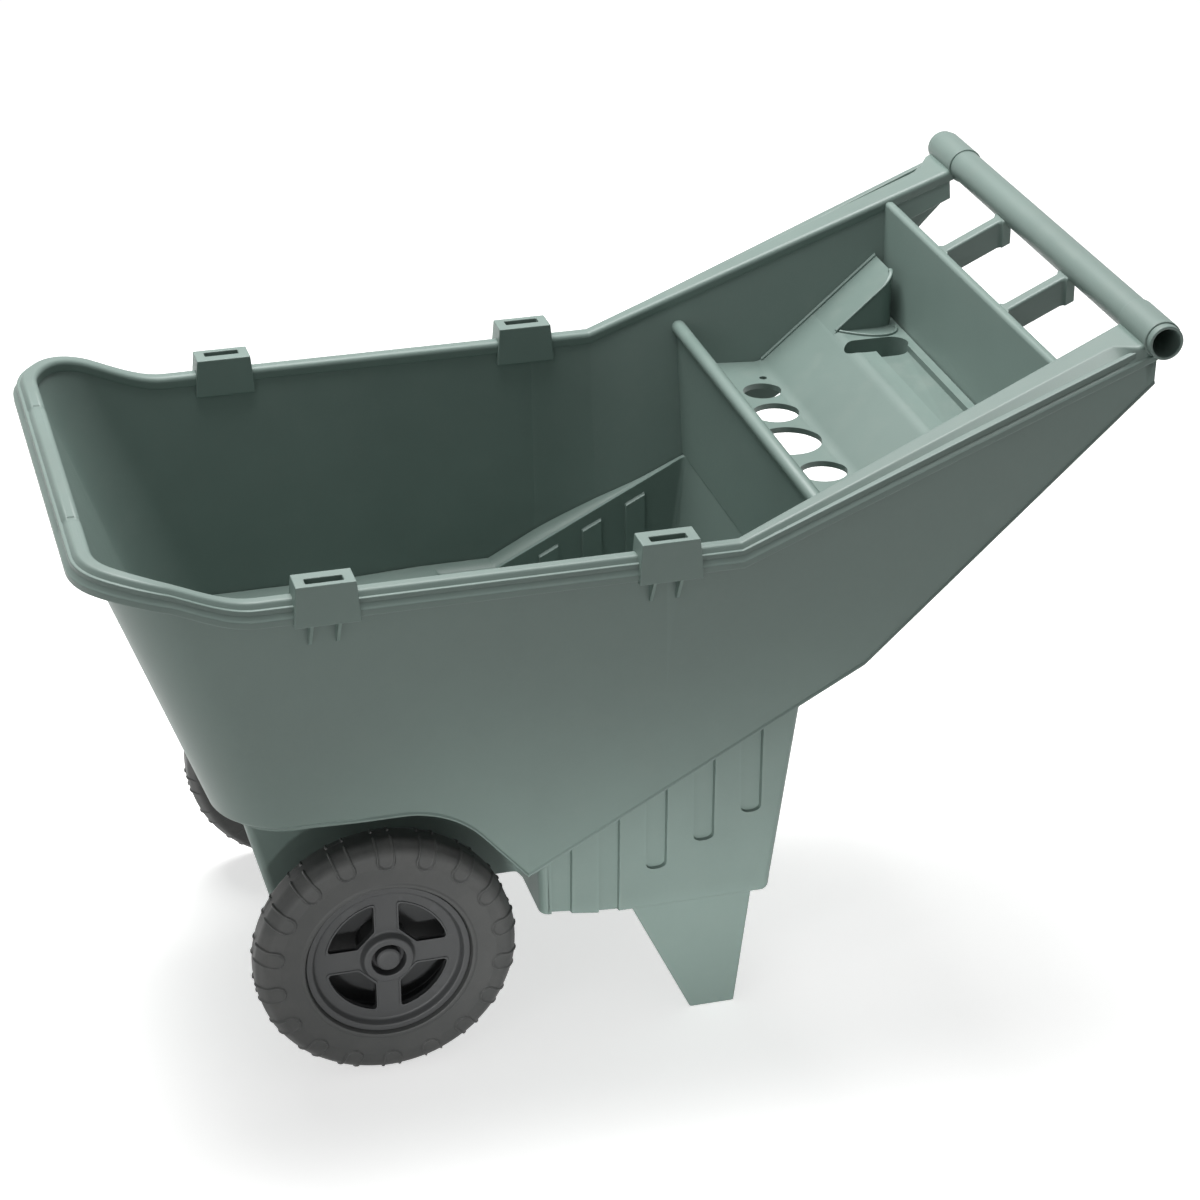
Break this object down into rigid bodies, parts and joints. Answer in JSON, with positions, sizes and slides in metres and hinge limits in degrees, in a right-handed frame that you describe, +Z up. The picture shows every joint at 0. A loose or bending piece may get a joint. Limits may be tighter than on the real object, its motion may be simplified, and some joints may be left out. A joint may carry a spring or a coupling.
{
  "type": "lawn cart",
  "caption": "Moulded lawn cart with a deep tub over a narrow well, wheels on an axle, legs, a sloping tool tray and a tube handle.",
  "frame": {"origin": "middle of the bounding box, on the ground", "axes": "+X from the nose to the handle, +Y to the right as seen from behind the handle looking forwards, +Z up"},
  "size_m": [1.007, 0.562, 0.715],
  "materials": {
    "body": "fine satin grain, grey-green",
    "tyre": "matt dark warm grey",
    "hub": "matt dark grey",
    "fitting": "black, smooth",
    "steel": "zinc plated"
  },
  "bodies": {
    "cart": {"tub_body": "body", "lower_well": "body", "tool_tray": "body", "divider_panel": "body", "handle_tube": "body", "axle": "steel", "leg_left": "body", "leg_right": "body", "axle_spacer_left": "fitting", "axle_spacer_right": "fitting", "inner_washer_left": "steel", "inner_washer_right": "steel", "outer_washer_left": "steel", "outer_washer_right": "steel", "push_nut_left": "steel", "push_nut_right": "steel", "hub_cap_left": "hub", "hub_cap_right": "hub", "well_screw_left_1": "steel", "well_screw_left_2": "steel", "well_screw_right_1": "steel", "well_screw_right_2": "steel", "tray_screw_left_1": "steel", "tray_screw_left_2": "steel", "tray_screw_right_1": "steel", "tray_screw_right_2": "steel", "leg_screw_left_1": "steel", "leg_screw_left_2": "steel", "leg_screw_right_1": "steel", "leg_screw_right_2": "steel"},
    "left_wheel": {"tyre_left": "tyre", "wheel_hub_left": "hub", "wheel_bush_left": "fitting"},
    "right_wheel": {"tyre_right": "tyre", "wheel_hub_right": "hub", "wheel_bush_right": "fitting"}
  },
  "joints": [
    {"name": "left_wheel_spin", "type": "hinge", "parent": "cart", "child": "left_wheel", "pos_m": [-0.2345, -0.2, 0.127], "axis": [0, 1, 0], "continuous": true},
    {"name": "right_wheel_spin", "type": "hinge", "parent": "cart", "child": "right_wheel", "pos_m": [-0.2345, 0.2, 0.127], "axis": [0, 1, 0], "continuous": true}
  ]
}
